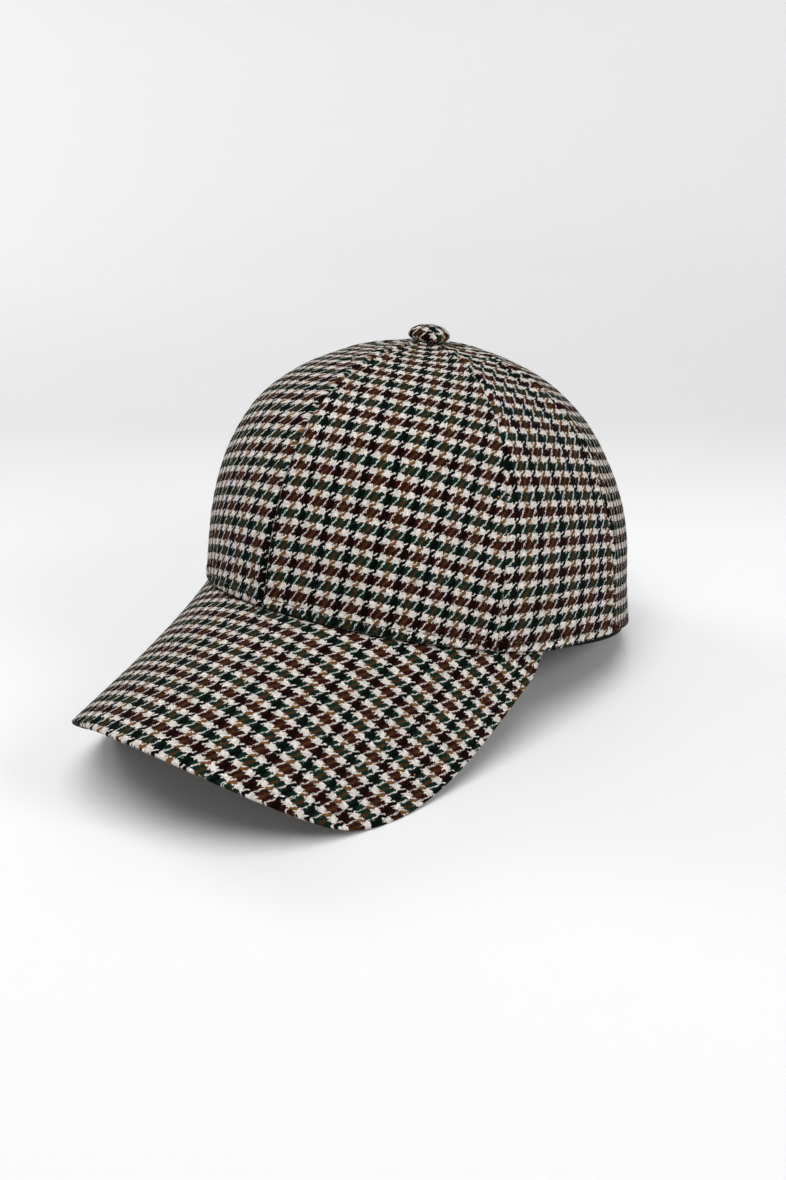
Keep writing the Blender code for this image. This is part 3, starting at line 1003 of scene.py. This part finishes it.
class MakeButton(bpy.types.Operator):
    """Make the covered button on the crown's tip"""

    bl_idname = "cap.button"
    bl_label = "Button"

    def execute(self, context):
        repeat = context.scene.cap_colours.repeat
        upper = BUTTON_HEIGHT - BUTTON_BELLY
        squat = upper * math.sin(BUTTON_TUCK) / BUTTON_BELLY
        bpy.ops.object.select_all(action="DESELECT")
        bpy.ops.mesh.primitive_uv_sphere_add(segments=64, ring_count=36, radius=1.0)
        piece = context.active_object
        piece.name = "covered_button"
        bpy.ops.object.mode_set(mode="EDIT")
        bpy.ops.mesh.select_all(action="SELECT")
        bpy.ops.transform.resize(value=(BUTTON_RADIUS, BUTTON_RADIUS, upper))
        level_cut(-BUTTON_BELLY * squat, use_fill=True, clear_inner=True)
        bpy.ops.mesh.inset(thickness=BUTTON_RADIUS * BUTTON_INSET)
        bpy.ops.transform.resize(value=(BUTTON_TAPER, BUTTON_TAPER, 1.0))
        bpy.ops.mesh.extrude_region_move(TRANSFORM_OT_translate={"value": (0.0, 0.0, -BUTTON_STEM)})
        bpy.ops.mesh.select_all(action="SELECT")
        bpy.ops.mesh.normals_make_consistent(inside=False)
        bpy.ops.object.mode_set(mode="OBJECT")
        points, faces = steady_order(piece.data)
        points[:, 2] = np.where(points[:, 2] < 0.0, points[:, 2] / squat, points[:, 2])
        radius = np.hypot(points[:, 0], points[:, 1])
        turn = np.arctan2(points[:, 1], points[:, 0])
        low = smooth_step(-points[:, 2], 0.0, BUTTON_BELLY)
        gathers = 1.0 - GATHER_DEPTH * low * (0.5 + 0.5 * np.cos(turn * BUTTON_GATHERS))
        height = np.maximum(points[:, 2], -BUTTON_BELLY)
        arc = np.arctan2(radius / BUTTON_RADIUS, height / BUTTON_RADIUS) * BUTTON_RADIUS * BUTTON_STRETCH
        flat = np.stack((arc * np.cos(turn), arc * np.sin(turn)), -1) / repeat + BUTTON_CHECK
        points[:, :2] *= gathers[:, None]
        points[:, 2] += LAYER_GAP + BUTTON_BELLY
        slope = np.array(Matrix.Rotation(math.atan(TOP_SLOPE), 3, "X"))
        placed = at_rest(crown_point(0.0, 1.0) + points @ slope.T, soft=False)
        piece.data.clear_geometry()
        fill_mesh(piece.data, placed, faces, wool(), flat)
        on_body(piece, ["button"])
        return {"FINISHED"}


def add_copies(name, placed, faces, material, flat=None):
    """One piece of many placed copies of a small shape; flat gives each copy's place on the cloth."""
    count, each = placed.shape[:2]
    all_faces = [tuple(corner + copy * each for corner in face) for copy in range(count) for face in faces]
    uvs = None if flat is None else flat.repeat(each, axis=0)
    return add_piece(name, placed, all_faces, material, uvs)


def stitches_along(path, normals, sizes, seed):
    """Middle, direction and normal of each stitch along a path."""
    lengths = path_lengths(path)
    pitch = sizes.stitch_length + sizes.stitch_gap
    starts = np.arange(pitch * 0.5, lengths[-1] - pitch * 0.5, pitch)
    rng = np.random.default_rng(seed)
    starts = starts + rng.normal(0.0, pitch * 0.04, len(starts))

    def along(values, at):
        return np.stack([np.interp(at, lengths, values[:, axis]) for axis in range(3)], -1)

    middle = along(path, starts)
    direction = unit(along(path, starts + pitch * 0.3) - along(path, starts - pitch * 0.3))
    return middle, direction, unit(along(normals, starts))


class MakeStitches(bpy.types.Operator):
    """Sew the twin rows beside every seam and the row above the rim"""

    bl_idname = "cap.stitches"
    bl_label = "Topstitching"

    def execute(self, context):
        sizes = context.scene.cap_sizes
        rows = []
        for number, (_, first, last, _) in enumerate(PANELS):
            across, climb, _, narrow, ups = panel_layout(first, last)
            surface, normal = panel_place(first, last, across, climb)
            sunk = sizes.stitch_dip * THREAD_SUNK * narrow**NARROWING
            sunk = surface - normal * sunk[..., None]
            beside = SEAM_STEPS.index(STITCHED_STEP)
            keep = ups[:, 0] > sizes.hem_stitch
            for column in (beside, across.shape[1] - 1 - beside):
                seed = number * 7 + column
                rows.append(stitches_along(sunk[keep, column], normal[keep, column], sizes, seed))
            shares = np.linspace(0.0, 1.0, 90)
            hem_angle = first + (last - first) * shares
            hem_climb = climb_at_height(hem_angle, rim_rise(hem_angle) + sizes.hem_stitch)
            hem, hem_normal = panel_place(first, last, shares, hem_climb)
            hem = hem + hem_normal * THREAD_LIFT
            rows.append(stitches_along(hem, hem_normal, sizes, number + 90))
        middle, direction, up = (np.concatenate(values)[:, None, :] for values in zip(*rows))

        def one_stitch():
            on_side = (0.0, math.pi / 2.0, 0.0)
            bpy.ops.mesh.primitive_uv_sphere_add(segments=6, ring_count=6, radius=1.0, rotation=on_side)
            bpy.ops.object.transform_apply(location=False, rotation=True, scale=True)

        shape, faces = template(one_stitch)
        along, sideways, over = shape[:, 0:1], shape[:, 1:2], shape[:, 2:3]
        bow = THREAD_RISE - THREAD_BOW * along**2
        placed = (middle
                  + direction * (along * sizes.stitch_length / 2.0)
                  + np.cross(up, direction) * (sideways * sizes.thread_radius)
                  + up * (over * sizes.thread_radius + bow))
        piece = add_copies("topstitching", at_rest(placed), faces, thread_finish("sewing_thread"))
        on_body(piece)
        return {"FINISHED"}


def scatter(piece, count, rng):
    """Random places on the outside of a piece: points, normals and flat places."""
    mesh = piece.data
    mesh.calc_loop_triangles()
    triangles = read(mesh.vertices, "co", 3)[read(mesh.loop_triangles, "vertices", 3, int)]
    flat = read(mesh.uv_layers[UV_NAME].data, "uv", 2)
    places = flat[read(mesh.loop_triangles, "loops", 3, int)]
    normals = np.cross(triangles[:, 1] - triangles[:, 0], triangles[:, 2] - triangles[:, 0])
    centre = triangles.mean(axis=1)
    outside = np.einsum("pk,pk->p", unit(normals), unit(centre - np.array(HEAD_MIDDLE))) > OUTWARD
    weights = np.linalg.norm(normals, axis=1) * outside
    chosen = rng.choice(len(weights), count, p=weights / weights.sum())
    first, second = rng.random(count), rng.random(count)
    flip = first + second > 1.0
    first, second = np.where(flip, 1.0 - first, first), np.where(flip, 1.0 - second, second)
    shares = np.stack((1.0 - first - second, first, second), -1)
    return (np.einsum("pk,pkc->pc", shares, triangles[chosen]), unit(normals[chosen]),
            np.einsum("pk,pkc->pc", shares, places[chosen]))


class MakeHairs(bpy.types.Operator):
    """Lay short loose hairs of wool over the cloth"""

    bl_idname = "cap.hairs"
    bl_label = "Wool hairs"

    def execute(self, context):
        sizes = context.scene.cap_sizes
        rng = np.random.default_rng(HAIR_SEED)
        names = ["cloth_" + panel[0] for panel in PANELS] + ["cloth_peak_top", "covered_button"]
        rest = (1.0 - sum(HAIR_SHARES.values())) / (len(names) - len(HAIR_SHARES))
        found = []
        for name in names:
            count = int(sizes.hairs * HAIR_SHARES.get(name, rest))
            found.append(scatter(bpy.data.objects[name], count, rng))
        root, normal, flat = (np.concatenate(values) for values in zip(*found))
        count = len(root)

        def one_hair():
            middle = (0.0, 0.0, 0.5)
            bpy.ops.mesh.primitive_cone_add(
                vertices=3, radius1=1.0, radius2=0.0, depth=1.0, location=middle)
            bpy.ops.object.transform_apply(location=True, rotation=True, scale=True)
            bpy.ops.object.mode_set(mode="EDIT")
            for height in HAIR_CUTS:
                bpy.ops.mesh.select_all(action="SELECT")
                level_cut(height)
            bpy.ops.object.mode_set(mode="OBJECT")

        shape, faces = template(one_hair)
        spin = unit(np.cross(normal, rng.normal(size=(count, 3))))
        lean = rng.uniform(*HAIR_LEANS, (count, 1))
        direction = unit(spin + normal * lean)
        side = unit(np.cross(direction, normal))
        sway = rng.normal(0.0, HAIR_BEND, (count, 1))
        droop = rng.uniform(0.0, HAIR_BEND, (count, 1))
        bend = side * sway - normal * droop
        length = sizes.hair_length * rng.uniform(*HAIR_LENGTHS, (count, 1))
        top = np.cross(side, direction)
        along = shape[:, 2:3]
        placed = (root[:, None, :]
                  + direction[:, None, :] * (along * length[:, None, :])
                  + bend[:, None, :] * (along**2 * length[:, None, :] * 0.5)
                  + side[:, None, :] * (shape[:, 0:1] * sizes.hair_radius)
                  + top[:, None, :] * (shape[:, 1:2] * sizes.hair_radius))
        placed[..., 2] = np.maximum(placed[..., 2], 0.0)
        piece = add_copies("wool_hairs", placed, faces, wool(), flat)
        on_body(piece)
        return {"FINISHED"}


def towards(azimuth, elevation):
    """Unit vector from the cap: azimuth turns from straight in front to the wearer's left."""
    level = math.cos(elevation)
    return Vector((math.sin(azimuth) * level, -math.cos(azimuth) * level, math.sin(elevation)))


class MakeStage(bpy.types.Operator):
    """Set the floor, the soft lights and the camera"""

    bl_idname = "cap.stage"
    bl_label = "Stage"

    def execute(self, context):
        stage = context.scene.cap_stage
        self.make_floor(stage)
        world = bpy.data.worlds.new("soft_room")
        context.scene.world = world
        world.use_nodes = True
        sky = world.node_tree.nodes["Background"]
        sky.inputs["Color"].default_value = (1.0, 1.0, 1.0, 1.0)
        sky.inputs["Strength"].default_value = stage.sky

        for name, azimuth, elevation, distance, size in LIGHTS:
            back = towards(math.radians(azimuth), math.radians(elevation))
            data = bpy.data.lights.new(name + "_light", "AREA")
            data.shape = "DISK"
            data.size = size
            data.energy = getattr(stage, name)
            light = add_object(name + "_light", data)
            light.location = back * distance
            light.rotation_euler = back.to_track_quat("Z", "Y").to_euler()

        camera_data = bpy.data.cameras.new("photo_camera")
        camera = add_object("photo_camera", camera_data)
        back = towards(stage.azimuth, stage.elevation)
        look = (-back).to_track_quat("-Z", "Y").to_matrix() @ Matrix.Rotation(stage.roll, 3, "Z")
        camera.rotation_mode = "QUATERNION"
        camera.rotation_quaternion = look.to_quaternion()
        camera.location = Vector(stage.target) + back * stage.distance
        camera_data.sensor_width = 36.0
        camera_data.lens = stage.lens
        camera_data.clip_start = 0.01
        context.scene.camera = camera
        context.scene.view_settings.view_transform = "Standard"
        return {"FINISHED"}

    def make_floor(self, stage):
        """Round floor that curves up into a low wall, with painted shade: darker near the camera, darker
        again from a line behind the cap where a backdrop would stand, and lighter further back where less
        light reaches.
        """
        bpy.ops.object.select_all(action="DESELECT")
        below = (0.0, 0.0, -STAGE_DROP)
        bpy.ops.mesh.primitive_circle_add(
            vertices=128, radius=STAGE_RADIUS, fill_type="NGON", location=below)
        floor = bpy.context.active_object
        floor.name = "pale_floor"
        bpy.ops.object.mode_set(mode="EDIT")
        bpy.ops.mesh.select_all(action="SELECT")
        bpy.ops.mesh.inset(thickness=STAGE_RING)
        bpy.ops.object.mode_set(mode="OBJECT")
        for vertex in floor.data.vertices:
            if vertex.co.xy.length > STAGE_RADIUS - STAGE_RING / 2.0:
                vertex.co.z += STAGE_WALL
        rounding = floor.modifiers.new("rounding", "BEVEL")
        rounding.width = STAGE_ROUNDING
        rounding.segments = 12
        rounding.limit_method = "ANGLE"
        bpy.ops.object.modifier_apply(modifier="rounding")
        floor.data.shade_smooth()
        material, wire = start_material("pale_ground")
        place = wire.node("ShaderNodeTexCoord", output="Object")
        right, back = wire.split(place)
        away = right * -math.sin(stage.azimuth) + back * math.cos(stage.azimuth)
        # Painted shade: the floor's colour follows its distance behind the cap along the camera's view
        ramp = wire.node("ShaderNodeValToRGB", values={0: away / STAGE_RADIUS + 0.2})
        stops = [(share, opaque(stage.floor, tone)) for share, tone in FLOOR_PAINTED_SHADE]
        stops += [(share, opaque(stage.backdrop, tone)) for share, tone in BACKDROP_PAINTED_SHADE]
        elements = ramp.socket.node.color_ramp.elements
        while len(elements) < len(stops):
            elements.new(1.0)
        for element, (share, colour) in zip(elements, stops):
            element.position = share
            element.color = colour
        finish_material(material, ramp, 0.75, wire.noise(place, 900.0, 2.0), 0.00002)
        floor.data.materials.append(material)


class CapPanel(bpy.types.Panel):
    """Lists the cap's pieces"""

    bl_idname = "CAP_PT_pieces"
    bl_label = "Checked wool cap"
    bl_space_type = "VIEW_3D"
    bl_region_type = "UI"
    bl_category = "Cap"

    def draw(self, context):
        for operator in OPERATORS:
            self.layout.operator(operator.bl_idname)
        for group in (context.scene.cap_sizes, context.scene.cap_colours, context.scene.cap_stage):
            box = self.layout.box()
            for name in group.bl_rna.properties.keys():
                if name not in ("rna_type", "name"):
                    box.prop(group, name)


OPERATORS = (MakeCrownPanels, MakePeak, MakeSweatband, MakeButton, MakeStitches, MakeHairs, MakeStage)
GROUPS = (CapSizes, CapColours, StageSettings)


def register():
    for item in GROUPS + OPERATORS + (CapPanel,):
        bpy.utils.register_class(item)
    bpy.types.Scene.cap_sizes = PointerProperty(type=CapSizes)
    bpy.types.Scene.cap_colours = PointerProperty(type=CapColours)
    bpy.types.Scene.cap_stage = PointerProperty(type=StageSettings)


def unregister():
    del bpy.types.Scene.cap_stage, bpy.types.Scene.cap_colours, bpy.types.Scene.cap_sizes
    for item in reversed(GROUPS + OPERATORS + (CapPanel,)):
        bpy.utils.unregister_class(item)


def main():
    register()
    bpy.ops.cap.crown_panels()
    bpy.ops.cap.peak()
    bpy.ops.cap.sweatband()
    bpy.ops.cap.button()
    bpy.ops.cap.stitches()
    bpy.ops.cap.hairs()
    bpy.ops.cap.stage()


if __name__ == "__main__":
    main()
